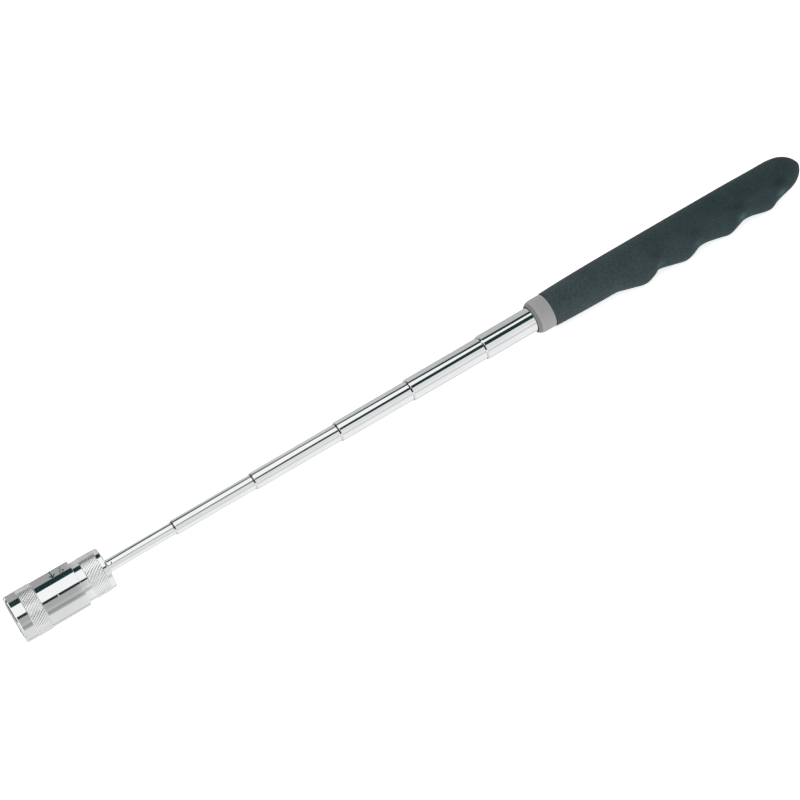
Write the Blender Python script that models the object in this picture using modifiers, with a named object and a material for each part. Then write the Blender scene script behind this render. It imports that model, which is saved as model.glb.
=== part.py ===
"""Telescopic magnetic pick-up tool with a twist-on LED lamp head.

The tool lies along X. The magnet's working face is at the origin, the handle points to +X,
and +Z is up when the tool lies on a bench. Sizes are named in millimetres through MM.
"""

from math import atan2, cos, pi, sin, sqrt, tau

import bmesh
import bpy
from mathutils import Matrix

MM = 0.001
GAP = 0.3 * MM
MERGE = 0.005 * MM

# Number of flats round a turned piece.
HEAD_SIDES = 32
TUBE_SIDES = 24
SMALL_SIDES = 16
HOLE_SIDES = 8
# Number of rings along each flank of a finger ridge.
RIDGE_STEPS = 4

# Lamp head, front to back.
RIM_R = 8.0 * MM
BAND_R = 10.2 * MM
BAND_END = 5.5 * MM
BEZEL_KNURL_R = 10.3 * MM
BEZEL_END = 11.9 * MM
BEZEL_BORE_R = 8.7 * MM
BEZEL_THREAD_R = 9.5 * MM
SLEEVE_R = 10.0 * MM
SLEEVE_BORE_R = 8.1 * MM
SLEEVE_SPIGOT_R = 9.2 * MM
SLEEVE_FRONT = 7.9 * MM
SLEEVE_END = 28.8 * MM
CAP_R = 8.8 * MM
CAP_KNURL_R = 8.95 * MM
CAP_SPIGOT_R = 7.7 * MM
CAP_SPIGOT_FRONT = 22.0 * MM
CAP_BORE_R = 7.0 * MM
CAP_FLOOR = 36.5 * MM
CAP_KNURL_START = 32.5 * MM
CAP_KNURL_END = 39.3 * MM
CAP_END = 41.6 * MM

# What the head holds.
MAGNET_R = 3.4 * MM
MAGNET_LENGTH = 4.0 * MM
CUP_R = 4.3 * MM
CUP_BORE_R = 3.6 * MM
CUP_LENGTH = 5.0 * MM
HOLDER_FRONT = 1.6 * MM
HOLDER_END = 7.6 * MM
HOLDER_R = 8.4 * MM
HOLDER_POCKET_R = 4.5 * MM
HOLDER_POCKET_END = 5.3 * MM
LED_COUNT = 3
LED_CIRCLE_R = 6.2 * MM
LED_R = 1.5 * MM
LED_FLANGE_R = 1.9 * MM
LED_TIP = 0.9 * MM
LED_FLANGE_FRONT = 5.6 * MM
LED_END = 6.5 * MM
LEAD_PITCH = 1.27 * MM
LEAD_SIZE = 0.5 * MM
LEAD_END = 9.6 * MM
BOARD_R = 7.8 * MM
BOARD_FRONT = 8.3 * MM
BOARD_THICKNESS = 1.0 * MM
CELL_R = 5.8 * MM
CELL_LENGTH = 5.4 * MM
CELL_FRONT = 11.3 * MM
CELL_PITCH = 5.6 * MM
CELL_COUNT = 3
LINER_R = 6.7 * MM
LINER_BORE_R = 6.1 * MM
LINER_FRONT = 9.9 * MM
LINER_END = 28.6 * MM
PIN_R = 2.2 * MM
PIN_END = 50.0 * MM

# Telescopic tubes: tube 1 is fixed in the handle, and tube 6 carries the head.
TUBE_1_R = 5.5 * MM
TUBE_STEP_R = 0.55 * MM
TUBE_WALL = 0.25 * MM
LIP_CLEARANCE = 0.12 * MM
LIP_LENGTH = 0.45 * MM
TIP_STEP = 1.5 * MM
TUBE_FRONTS = {
    1: 220.0 * MM,
    2: 184.2 * MM,
    3: 149.7 * MM,
    4: 109.3 * MM,
    5: 72.2 * MM,
    6: 41.9 * MM,
}
TUBE_1_END = 359.0 * MM
TUBE_STOP = 355.2 * MM

# Handle.
COLLAR_FRONT = 244.9 * MM
COLLAR_END = 252.8 * MM
COLLAR_R = 7.45 * MM
COLLAR_CHAMFER = 1.1 * MM
COLLAR_CHAMFER_LENGTH = 1.9 * MM
CORE_R = 6.6 * MM
CORE_END = 364.0 * MM
CORE_BORE_R = 5.8 * MM
CORE_BORE_END = 361.6 * MM
GRIP_FRONT = 253.1 * MM
GRIP_TIP = 382.9 * MM
GRIP_BORE_R = 6.9 * MM
GRIP_R = 8.35 * MM
GRIP_END_R = 8.1 * MM
GRIP_NECK_DEPTH = 0.7 * MM
GRIP_NECK_LENGTH = 46.0 * MM
GRIP_TAPER_START = 345.0 * MM
GRIP_TAPER_LENGTH = 20.0 * MM
GRIP_ROUNDING_START = 366.0 * MM
# The flats from the grip's round back to its finger ridges touch both at this angle.
FLAT_ANGLE = 1.5 * pi / 4
# Finger ridges: distance along the tool, and height above the round grip.
RIDGE_POINTS = (
    (283.0 * MM, 0.0),
    (296.8 * MM, 3.15 * MM),
    (305.5 * MM, 0.95 * MM),
    (317.3 * MM, 3.3 * MM),
    (328.3 * MM, 1.0 * MM),
    (340.2 * MM, 3.05 * MM),
    (349.8 * MM, 1.05 * MM),
    (361.8 * MM, 2.95 * MM),
    (370.5 * MM, 0.3 * MM),
    (375.0 * MM, 0.0),
)

CHROME = ((0.82, 0.83, 0.83), 0.08, 1.0)
DARK_RUBBER = ((0.04, 0.055, 0.055), 0.75, 0.0)
GREY_PLASTIC = ((0.38, 0.38, 0.38), 0.55, 0.0)
BLACK_PLASTIC = ((0.02, 0.02, 0.02), 0.5, 0.0)
NICKEL = ((0.62, 0.6, 0.56), 0.25, 1.0)
STEEL = ((0.5, 0.5, 0.5), 0.35, 1.0)
BRASS = ((0.75, 0.55, 0.25), 0.3, 1.0)
BRONZE = ((0.6, 0.38, 0.2), 0.35, 1.0)
CLEAR = ((0.9, 0.95, 1.0), 0.1, 0.0)
BOARD_GREEN = ((0.03, 0.2, 0.08), 0.5, 0.0)
LINER_PAPER = ((0.85, 0.83, 0.75), 0.8, 0.0)
NITRILE = ((0.02, 0.02, 0.02), 0.7, 0.0)


def clear_scene():
    for obj in list(bpy.data.objects):
        bpy.data.objects.remove(obj, do_unlink=True)


def make_collection(name):
    collection = bpy.data.collections.new(name)
    bpy.context.scene.collection.children.link(collection)
    return collection


def make_material(name, look):
    colour, roughness, metallic = look
    material = bpy.data.materials.new(name)
    material.use_nodes = True
    shader = material.node_tree.nodes["Principled BSDF"]
    shader.inputs["Base Color"].default_value = (*colour, 1.0)
    shader.inputs["Roughness"].default_value = roughness
    shader.inputs["Metallic"].default_value = metallic
    return material


def add_object(name, data, collection):
    obj = bpy.data.objects.new(name, data)
    collection.objects.link(obj)
    return obj


def make_empty(name, x, collection, parent=None):
    """An empty on the tool's axis, at the distance x behind the magnet's face."""
    empty = add_object(name, None, collection)
    empty.empty_display_size = 5 * MM
    put_at(empty, x, parent)
    return empty


def put_at(obj, x, parent, y=0.0, z=0.0):
    """Place an object in tool coordinates, under a parent that lies on the axis."""
    parent_x = 0.0
    if parent is not None:
        obj.parent = parent
        parent_x = parent["x"]
    obj.location = (x - parent_x, y, z)
    obj["x"] = x


def screw_round_x(obj, sides):
    screw = obj.modifiers.new("Turn", "SCREW")
    screw.axis = "X"
    screw.angle = tau
    screw.steps = sides
    screw.render_steps = sides
    screw.use_merge_vertices = True
    screw.merge_threshold = MERGE
    screw.use_smooth_shade = True


def turned(name, outline, look, sides, x, parent, collection):
    """A turned piece.

    The outline lists (distance, radius) from the front along the outside to the back, then
    forward again along the bore. A piece that is closed at one end starts and ends on the axis.
    The outline stands half a side round the axis, so that the piece lies on a flat of its skin.
    """
    across, up = cos(pi / sides), sin(pi / sides)
    points = [(along, radius * across, radius * up) for along, radius in reversed(outline)]
    edges = [(i, i + 1) for i in range(len(points) - 1)]
    if outline[0][1] > 0 or outline[-1][1] > 0:
        edges.append((len(points) - 1, 0))
    mesh = bpy.data.meshes.new(name)
    mesh.from_pydata(points, edges, [])
    mesh.materials.append(make_material(name, look))
    obj = add_object(name, mesh, collection)
    screw_round_x(obj, sides)
    put_at(obj, x, parent)
    return obj


def rounded_edge(x, radius, size, forward, steps=2):
    """Points of a rounded outer edge, in order from front to back."""
    points = []
    for i in range(steps + 1):
        angle = (pi / 2) * i / steps
        if forward:
            points.append((x + size * (1 - sin(angle)), radius - size * (1 - cos(angle))))
        else:
            points.append((x - size * (1 - sin(angle)), radius - size * (1 - cos(angle))))
    return points[::-1] if forward else points


def make_cutter(name, mesh, cutters):
    cutter = add_object(name, mesh, cutters)
    cutter.hide_render = True
    cutter.display_type = "WIRE"
    return cutter


def add_round_bar(bm, x_from, x_to, radius, y, z, sides):
    """Add a closed cylinder along X to a bmesh."""
    length = x_to - x_from
    turn = Matrix.Rotation(pi / 2, 4, "Y")
    place = Matrix.Translation(((x_from + x_to) / 2, y, z))
    bmesh.ops.create_cone(
        bm,
        cap_ends=True,
        segments=sides,
        radius1=radius,
        radius2=radius,
        depth=length,
        matrix=place @ turn,
    )


def add_box(bm, low, high):
    size = [high[i] - low[i] for i in range(3)]
    middle = [(high[i] + low[i]) / 2 for i in range(3)]
    matrix = Matrix.Translation(middle) @ Matrix.Diagonal((*size, 1.0))
    bmesh.ops.create_cube(bm, size=1.0, matrix=matrix)


def mesh_from_bmesh(name, bm):
    mesh = bpy.data.meshes.new(name)
    bm.to_mesh(mesh)
    bm.free()
    return mesh


def add_boolean(obj, cutter, operation):
    boolean = obj.modifiers.new(cutter.name, "BOOLEAN")
    boolean.operation = operation
    boolean.solver = "EXACT"
    boolean.object = cutter


def led_places():
    """Centre of each LED on its circle, the first one at the top."""
    for index in range(LED_COUNT):
        angle = tau * index / LED_COUNT
        yield index + 1, -LED_CIRCLE_R * sin(angle), LED_CIRCLE_R * cos(angle)


def make_front_bezel(parent, parts):
    outline = rounded_edge(0.0, BAND_R, 0.5 * MM, forward=True)
    outline += [
        (BAND_END, BAND_R),
        (BAND_END + 0.2 * MM, BEZEL_KNURL_R),
        (BEZEL_END - 0.3 * MM, BEZEL_KNURL_R),
        (BEZEL_END, SLEEVE_R),
        (BEZEL_END, BEZEL_THREAD_R),
        (HOLDER_END, BEZEL_THREAD_R),
        (HOLDER_END, BEZEL_BORE_R),
        (HOLDER_FRONT - GAP, BEZEL_BORE_R),
        (HOLDER_FRONT - GAP, RIM_R),
        (0.3 * MM, RIM_R),
        (0.0, RIM_R + 0.3 * MM),
    ]
    return turned("front_bezel", outline, CHROME, HEAD_SIDES, 0.0, parent, parts)


def make_battery_sleeve(parent, parts):
    shoulder = BEZEL_END + 0.2 * MM
    outline = [
        (SLEEVE_FRONT, SLEEVE_SPIGOT_R),
        (shoulder, SLEEVE_SPIGOT_R),
        (shoulder, SLEEVE_R),
    ]
    outline += rounded_edge(SLEEVE_END, SLEEVE_R, 0.5 * MM, forward=False)
    outline += [
        (SLEEVE_END, SLEEVE_BORE_R),
        (SLEEVE_FRONT, SLEEVE_BORE_R),
    ]
    return turned("battery_sleeve", outline, CHROME, HEAD_SIDES, 0.0, parent, parts)


def make_rear_cap(parent, parts):
    groove_front = 25.6 * MM
    groove_end = 26.6 * MM
    groove_r = 7.3 * MM
    outline = [
        (CAP_SPIGOT_FRONT, CAP_SPIGOT_R),
        (groove_front, CAP_SPIGOT_R),
        (groove_front, groove_r),
        (groove_end, groove_r),
        (groove_end, CAP_SPIGOT_R),
        (SLEEVE_END + GAP, CAP_SPIGOT_R),
        (SLEEVE_END + GAP, CAP_R),
        (CAP_KNURL_START, CAP_R),
        (CAP_KNURL_START + 0.2 * MM, CAP_KNURL_R),
        (CAP_KNURL_END - 0.2 * MM, CAP_KNURL_R),
        (CAP_KNURL_END, CAP_R),
    ]
    outline += rounded_edge(CAP_END, CAP_R, 1.2 * MM, forward=False, steps=3)
    outline += [
        (CAP_END, PIN_R + GAP),
        (CAP_FLOOR, PIN_R + GAP),
        (CAP_FLOOR, CAP_BORE_R),
        (CAP_SPIGOT_FRONT, CAP_BORE_R),
    ]
    cap = turned("rear_cap", outline, CHROME, HEAD_SIDES, CAP_END, parent, parts)
    shift_mesh(cap, -CAP_END)
    return cap


def shift_mesh(obj, distance):
    """Move a mesh along X inside its object, so that its origin sits where the object is placed."""
    obj.data.transform(Matrix.Translation((distance, 0, 0)))


def make_magnet(parent, parts):
    chamfer = 0.2 * MM
    magnet_outline = [
        (0.0, 0.0),
        (0.0, MAGNET_R - chamfer),
        (chamfer, MAGNET_R),
        (MAGNET_LENGTH, MAGNET_R),
        (MAGNET_LENGTH, 0.0),
    ]
    turned("magnet", magnet_outline, NICKEL, TUBE_SIDES, 0.0, parent, parts)
    cup_outline = [
        (MAGNET_LENGTH + GAP, 0.0),
        (MAGNET_LENGTH + GAP, CUP_BORE_R),
        (0.0, CUP_BORE_R),
        (0.0, CUP_R - chamfer),
        (chamfer, CUP_R),
        (CUP_LENGTH, CUP_R),
        (CUP_LENGTH, 0.0),
    ]
    turned("magnet_cup", cup_outline, STEEL, TUBE_SIDES, 0.0, parent, parts)


def make_led_holder(parent, parts, cutters):
    outline = [
        (HOLDER_POCKET_END, 0.0),
        (HOLDER_POCKET_END, HOLDER_POCKET_R),
        (HOLDER_FRONT, HOLDER_POCKET_R),
        (HOLDER_FRONT, HOLDER_R - GAP),
        (HOLDER_FRONT + GAP, HOLDER_R),
        (HOLDER_END, HOLDER_R),
        (HOLDER_END, 0.0),
    ]
    holder = turned("led_holder", outline, BLACK_PLASTIC, HEAD_SIDES, 0.0, parent, parts)
    clearance = 0.15 * MM
    seat_front = LED_FLANGE_FRONT - 0.2 * MM
    past_end = HOLDER_END + MM
    bm = bmesh.new()
    for _, y, z in led_places():
        add_round_bar(bm, 0.0, past_end, LED_R + clearance, y, z, SMALL_SIDES)
    bore = make_cutter("led_bore_cutter", mesh_from_bmesh("led_bore_cutter", bm), cutters)
    bm = bmesh.new()
    for _, y, z in led_places():
        add_round_bar(bm, seat_front, past_end, LED_FLANGE_R + clearance, y, z, SMALL_SIDES)
    seat = make_cutter("led_seat_cutter", mesh_from_bmesh("led_seat_cutter", bm), cutters)
    add_boolean(holder, bore, "DIFFERENCE")
    add_boolean(holder, seat, "DIFFERENCE")


def make_led(index, y, z, parent, parts, cutters):
    outline = [(LED_TIP, 0.0)]
    for step in range(1, 5):
        angle = (pi / 2) * step / 4
        outline.append((LED_TIP + LED_R * (1 - cos(angle)), LED_R * sin(angle)))
    outline += [
        (LED_FLANGE_FRONT, LED_R),
        (LED_FLANGE_FRONT, LED_FLANGE_R),
        (LED_END, LED_FLANGE_R),
        (LED_END, 0.0),
    ]
    led = turned(f"led_{index}", outline, CLEAR, SMALL_SIDES, 0.0, parent, parts)
    put_at(led, 0.0, parent, y, z)
    bm = bmesh.new()
    for side in (-1, 1):
        middle = side * LEAD_PITCH / 2
        half = LEAD_SIZE / 2
        add_box(bm, (LED_END - 0.4 * MM, middle - half, -half), (LEAD_END, middle + half, half))
    leads = make_cutter(f"led_{index}_leads", mesh_from_bmesh(f"led_{index}_leads", bm), cutters)
    leads.location = (0.0, y, z)
    add_boolean(led, leads, "UNION")


def make_led_board(parent, parts, cutters):
    board_end = BOARD_FRONT + BOARD_THICKNESS
    outline = [(BOARD_FRONT, 0.0), (BOARD_FRONT, BOARD_R), (board_end, BOARD_R), (board_end, 0.0)]
    board = turned("led_board", outline, BOARD_GREEN, HEAD_SIDES, 0.0, parent, parts)
    hole_r = 0.5 * MM
    bm = bmesh.new()
    for _, y, z in led_places():
        for side in (-1, 1):
            lead_y = y + side * LEAD_PITCH / 2
            add_round_bar(bm, BOARD_FRONT - MM, board_end + MM, hole_r, lead_y, z, HOLE_SIDES)
    holes = make_cutter("board_hole_cutter", mesh_from_bmesh("board_hole_cutter", bm), cutters)
    add_boolean(board, holes, "DIFFERENCE")
    contact_front = board_end + 0.2 * MM
    flange_end = contact_front + 0.6 * MM
    contact_end = contact_front + 1.2 * MM
    flange_r = 3.0 * MM
    contact_outline = [
        (contact_front, 0.0),
        (contact_front, flange_r),
        (flange_end, flange_r),
        (flange_end, 1.6 * MM),
        (contact_end, 1.2 * MM),
        (contact_end, 0.0),
    ]
    turned("board_contact", contact_outline, BRASS, SMALL_SIDES, 0.0, parent, parts)


def make_cells(parent, parts):
    button_r = 4.8 * MM
    step = 0.5 * MM
    outline = [
        (0.0, 0.0),
        (0.0, CELL_R - 0.3 * MM),
        (0.3 * MM, CELL_R),
        (CELL_LENGTH - step, CELL_R),
        (CELL_LENGTH - step, button_r + 0.2 * MM),
        (CELL_LENGTH, button_r),
        (CELL_LENGTH, 0.0),
    ]
    for index in range(CELL_COUNT):
        front = CELL_FRONT + index * CELL_PITCH
        turned(f"cell_{index + 1}", outline, NICKEL, TUBE_SIDES, front, parent, parts)


def make_battery_liner(parent, parts):
    outline = [
        (LINER_FRONT, LINER_R),
        (LINER_END, LINER_R),
        (LINER_END, LINER_BORE_R),
        (LINER_FRONT, LINER_BORE_R),
    ]
    turned("battery_liner", outline, LINER_PAPER, TUBE_SIDES, 0.0, parent, parts)


def make_o_ring(parent, parts):
    section_r = 0.3 * MM
    ring_r = 7.7 * MM
    middle = 26.1 * MM
    outline = []
    for step in range(8):
        angle = -tau * step / 8
        outline.append((middle + section_r * cos(angle), ring_r + section_r * sin(angle)))
    turned("o_ring", outline, NITRILE, HEAD_SIDES, 0.0, parent, parts)


def make_contact_spring(parent, parts):
    """A conical coil with its wide end against the head pin's flange."""
    turns = 4
    per_turn = 12
    wire_r = 0.3 * MM
    front = 28.4 * MM
    length = 6.2 * MM
    small_r = 3.0 * MM
    large_r = 5.2 * MM
    curve = bpy.data.curves.new("contact_spring", "CURVE")
    curve.dimensions = "3D"
    curve.bevel_depth = wire_r
    curve.bevel_resolution = 1
    curve.use_fill_caps = True
    spline = curve.splines.new("POLY")
    count = turns * per_turn + 1
    spline.points.add(count - 1)
    for i in range(count):
        share = i / (count - 1)
        angle = tau * i / per_turn
        along = front + wire_r + length * share
        radius = small_r + (large_r - small_r) * share
        spline.points[i].co = (along, radius * cos(angle), radius * sin(angle), 1.0)
    curve.materials.append(make_material("contact_spring", STEEL))
    spring = add_object("contact_spring", curve, parts)
    put_at(spring, 0.0, parent)


def make_head_pin(parent, parts):
    flange_front = CAP_FLOOR - 1.2 * MM
    flange_r = 4.0 * MM
    chamfer = 0.4 * MM
    outline = [
        (flange_front, 0.0),
        (flange_front, flange_r),
        (CAP_FLOOR - GAP, flange_r),
        (CAP_FLOOR - GAP, PIN_R),
        (PIN_END - chamfer, PIN_R),
        (PIN_END, PIN_R - chamfer),
        (PIN_END, 0.0),
    ]
    pin = turned("head_pin", outline, STEEL, SMALL_SIDES, CAP_END, parent, parts)
    shift_mesh(pin, -CAP_END)


def tube_radius(number):
    return TUBE_1_R - TUBE_STEP_R * (number - 1)


def tube_length(number):
    """Closed up, each tube stands a little proud of the one round it and reaches the same stop."""
    if number == 1:
        return TUBE_1_END - TUBE_FRONTS[1]
    closed_front = TUBE_FRONTS[1] - TIP_STEP * (number - 1)
    return TUBE_STOP - closed_front


def make_tube(number, parent, parts):
    radius = tube_radius(number)
    bore_r = radius - TUBE_WALL
    length = tube_length(number)
    outline = [(length, radius), (length, bore_r)]
    if number == 6:
        outline = [(0.0, radius), *outline, (0.0, bore_r)]
    else:
        # The front edge is rolled in to a lip that closes on the next tube.
        lip_r = tube_radius(number + 1) + LIP_CLEARANCE
        outline = [
            (0.0, lip_r + 0.07 * MM),
            (0.12 * MM, radius - 0.12 * MM),
            (LIP_LENGTH, radius),
            *outline,
            (LIP_LENGTH + 0.35 * MM, bore_r),
            (LIP_LENGTH, lip_r),
            (0.0, lip_r),
        ]
    turned(f"tube_{number}", outline, CHROME, TUBE_SIDES, TUBE_FRONTS[number], parent, parts)


def make_slip_spring(number, parent, parts, cutters):
    """A split sleeve near the rear end of a sliding tube, in the space inside the tube round it."""
    clearance = 0.1 * MM
    from_end = 9.0 * MM
    length = 6.0 * MM
    half_slot = 0.6 * MM
    radius = tube_radius(number)
    front = TUBE_FRONTS[number] + tube_length(number) - from_end
    outline = [
        (0.0, radius + 2 * clearance),
        (length, radius + 2 * clearance),
        (length, radius + clearance),
        (0.0, radius + clearance),
    ]
    spring = turned(f"slip_spring_{number}", outline, BRONZE, TUBE_SIDES, front, parent, parts)
    bm = bmesh.new()
    add_box(bm, (-MM, 0.0, -half_slot), (length + MM, radius + MM, half_slot))
    name = f"slip_spring_{number}_slot"
    slot = make_cutter(name, mesh_from_bmesh(name, bm), cutters)
    slot.location = (front, 0.0, 0.0)
    add_boolean(spring, slot, "DIFFERENCE")


def make_tube_plug(parent, parts):
    bore_r = TUBE_1_R - TUBE_WALL
    outline = [
        (TUBE_STOP + GAP, 0.0),
        (TUBE_STOP + GAP, bore_r - GAP),
        (TUBE_1_END + GAP, bore_r - GAP),
        (TUBE_1_END + GAP, TUBE_1_R),
        (CORE_BORE_END - GAP, TUBE_1_R),
        (CORE_BORE_END - GAP, 0.0),
    ]
    turned("tube_plug", outline, BRASS, TUBE_SIDES, 0.0, parent, parts)


def make_handle_core(parent, parts):
    outline = [
        (CORE_BORE_END, 0.0),
        (CORE_BORE_END, CORE_BORE_R),
        (COLLAR_FRONT, CORE_BORE_R),
        (COLLAR_FRONT, COLLAR_R - COLLAR_CHAMFER),
        (COLLAR_FRONT + COLLAR_CHAMFER_LENGTH, COLLAR_R),
        (COLLAR_END, COLLAR_R),
        (COLLAR_END, CORE_R),
        (CORE_END, CORE_R),
        (CORE_END, 0.0),
    ]
    turned("handle_core", outline, GREY_PLASTIC, HEAD_SIDES, 0.0, parent, parts)


def smooth_step(share):
    share = min(1.0, max(0.0, share))
    return share * share * (3 - 2 * share)


def ridge_height(x):
    """Height of the finger ridges above the round grip."""
    for (x0, h0), (x1, h1) in zip(RIDGE_POINTS, RIDGE_POINTS[1:]):
        if x0 <= x <= x1:
            return h0 + (h1 - h0) * smooth_step((x - x0) / (x1 - x0))
    return 0.0


def grip_radius(x):
    """Radius of the round part of the grip: it swells behind the collar and ends in a blunt tip."""
    narrowing = GRIP_NECK_DEPTH * (1 - (x - GRIP_FRONT) / GRIP_NECK_LENGTH) ** 3
    radius = GRIP_R - max(0.0, narrowing)
    if x > GRIP_TAPER_START:
        radius -= (GRIP_R - GRIP_END_R) * smooth_step((x - GRIP_TAPER_START) / GRIP_TAPER_LENGTH)
    if x > GRIP_ROUNDING_START:
        share = min(1.0, (x - GRIP_ROUNDING_START) / (GRIP_TIP - GRIP_ROUNDING_START))
        radius *= (1 - share**3.2) ** 0.75
    return radius


def grip_section_radius(angle, radius, ridge):
    """Distance from the axis to the grip's skin, at an angle from the ridge's direction.

    The section is the round grip and a smaller circle for the ridge, joined by two flats that
    touch both circles.
    """
    reach = cos(FLAT_ANGLE)
    shrink = reach / (1 - reach)
    ridge_r = radius - shrink * ridge
    ridge_centre = (1 + shrink) * ridge
    angle = abs(angle)
    touch = atan2(ridge_r * sin(FLAT_ANGLE), ridge_centre + ridge_r * cos(FLAT_ANGLE))
    if angle >= FLAT_ANGLE:
        return radius
    if angle >= touch:
        return radius / cos(FLAT_ANGLE - angle)
    across = ridge_centre * sin(angle)
    return ridge_centre * cos(angle) + sqrt(ridge_r * ridge_r - across * across)


def grip_ring(bm, x, sides):
    """One ring of the grip's skin, with the ridges pointing to -Y and a little down."""
    radius = grip_radius(x)
    ridge = ridge_height(x)
    ring = []
    for i in range(sides):
        angle = tau * i / sides
        from_ridge = angle if angle <= pi else angle - tau
        distance = grip_section_radius(from_ridge, radius, ridge)
        turn = angle + FLAT_ANGLE
        ring.append(bm.verts.new((x, -distance * sin(turn), -distance * cos(turn))))
    return ring


def bridge(bm, first, second):
    count = len(first)
    for i in range(count):
        j = (i + 1) % count
        bm.faces.new((first[i], first[j], second[j], second[i]))


def grip_stations():
    """Distances at which the grip's skin has a ring."""
    stations = [GRIP_FRONT, GRIP_FRONT + 8 * MM, GRIP_FRONT + 18 * MM]
    for (x0, _), (x1, _) in zip(RIDGE_POINTS, RIDGE_POINTS[1:-1]):
        stations += [x0 + (x1 - x0) * i / RIDGE_STEPS for i in range(RIDGE_STEPS)]
    tip_steps = 7
    start = RIDGE_POINTS[-2][0]
    for i in range(tip_steps):
        share = sin((pi / 2) * i / tip_steps)
        stations.append(start + (GRIP_TIP - start) * share)
    return stations


def make_grip(parent, parts):
    """The grip's skin is lofted through its rings, and a round blind bore takes the core."""
    sides = HEAD_SIDES
    bore_end = CORE_END + GAP
    bm = bmesh.new()
    rings = [grip_ring(bm, x, sides) for x in grip_stations()]
    for first, second in zip(rings, rings[1:]):
        bridge(bm, first, second)
    tip = bm.verts.new((GRIP_TIP, 0.0, 0.0))
    last = rings[-1]
    for i in range(sides):
        bm.faces.new((last[i], last[(i + 1) % sides], tip))
    bore_rings = []
    for x in (GRIP_FRONT, bore_end):
        ring = []
        for i in range(sides):
            turn = tau * i / sides + FLAT_ANGLE
            ring.append(bm.verts.new((x, -GRIP_BORE_R * sin(turn), -GRIP_BORE_R * cos(turn))))
        bore_rings.append(ring)
    bridge(bm, bore_rings[0], rings[0])
    bridge(bm, bore_rings[1], bore_rings[0])
    bm.faces.new(bore_rings[1][::-1])
    bmesh.ops.recalc_face_normals(bm, faces=bm.faces)
    mesh = mesh_from_bmesh("grip", bm)
    mesh.materials.append(make_material("grip", DARK_RUBBER))
    mesh.shade_smooth()
    mesh.set_sharp_from_angle(angle=pi / 4)
    grip = add_object("grip", mesh, parts)
    put_at(grip, GRIP_FRONT, parent)
    shift_mesh(grip, -GRIP_FRONT)


def make_handle(parts):
    handle = make_empty("handle_frame", COLLAR_FRONT, parts)
    make_grip(handle, parts)
    make_handle_core(handle, parts)
    make_tube(1, handle, parts)
    make_tube_plug(handle, parts)
    return handle


def make_antenna(handle, parts, cutters):
    """Sliding tubes 2 to 6, each carried by the one before it."""
    carrier = handle
    for number in range(2, 7):
        carrier = make_empty(f"section_{number}_frame", TUBE_FRONTS[number], parts, carrier)
        make_tube(number, carrier, parts)
        make_slip_spring(number, carrier, parts, cutters)
    return carrier


def make_lamp_head(carrier, parts, cutters):
    """The rear cap stays with tube 6, and the rest of the head turns on it."""
    make_rear_cap(carrier, parts)
    make_o_ring(carrier, parts)
    make_head_pin(carrier, parts)
    make_contact_spring(carrier, parts)
    lamp = make_empty("lamp_frame", 0.0, parts, carrier)
    make_front_bezel(lamp, parts)
    make_battery_sleeve(lamp, parts)
    make_magnet(lamp, parts)
    make_led_holder(lamp, parts, cutters)
    for index, y, z in led_places():
        make_led(index, y, z, lamp, parts, cutters)
    make_led_board(lamp, parts, cutters)
    make_cells(lamp, parts)
    make_battery_liner(lamp, parts)


def main():
    clear_scene()
    parts = make_collection("magnetic_pickup_tool")
    cutters = make_collection("cutters")
    handle = make_handle(parts)
    carrier = make_antenna(handle, parts, cutters)
    make_lamp_head(carrier, parts, cutters)


main()
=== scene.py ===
"""Looks of the telescopic magnetic pick-up tool: fine meshes, materials, studio and camera.

The tool lies along X with the magnet's face at the origin and the handle towards +X. Lengths in
outlines are millimetres, and angles round the tool are degrees from -Y through +Z.
"""

from math import atan2, cos, degrees, exp, pi, radians, sin, sqrt, tau

import bmesh
import bpy
from mathutils import Matrix, Vector


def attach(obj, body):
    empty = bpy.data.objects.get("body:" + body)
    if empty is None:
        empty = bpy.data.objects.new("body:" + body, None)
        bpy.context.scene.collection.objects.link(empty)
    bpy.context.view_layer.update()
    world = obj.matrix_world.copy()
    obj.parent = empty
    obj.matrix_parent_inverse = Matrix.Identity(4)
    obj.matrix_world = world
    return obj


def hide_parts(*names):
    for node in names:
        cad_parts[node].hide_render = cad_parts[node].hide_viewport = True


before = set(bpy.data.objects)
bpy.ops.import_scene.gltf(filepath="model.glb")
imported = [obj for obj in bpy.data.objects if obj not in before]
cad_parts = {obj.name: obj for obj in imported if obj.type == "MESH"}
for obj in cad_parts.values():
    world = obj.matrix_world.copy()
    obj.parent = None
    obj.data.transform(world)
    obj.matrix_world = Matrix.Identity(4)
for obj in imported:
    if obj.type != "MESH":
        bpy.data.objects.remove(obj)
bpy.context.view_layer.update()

MM = 0.001

# Resolution.
HEAD_SIDES = 144
TUBE_SIDES = 128
GRIP_SIDES = 128
SMALL_SIDES = 64
SHARP = 32.0

# Camera: the foot of its perpendicular on the tool's axis, its distance, height angle and aim.
CAMERA_X = -0.029
CAMERA_DISTANCE = 0.936
CAMERA_HEIGHT = 69.514
CAMERA_AIM = (0.17907, -0.001536, 0.0)
CAMERA_LENS = 105.09

# Knurls: axial lead of a groove per start, mesh columns per start, and the least outer radius.
KNURL_LEAD = 1.65
KNURL_CELLS = 12
BORE_LIMIT = 8.85

# Tubes: outer radius and front end, as in the CAD model.
TUBES = {
    1: (5.5, 220.0, 359.0),
    2: (4.95, 184.2, 320.9),
    3: (4.4, 149.7, 287.9),
    4: (3.85, 109.3, 249.0),
    5: (3.3, 72.2, 213.4),
    6: (2.75, 41.9, 184.6),
}
TUBE_WALL = 0.25

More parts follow.
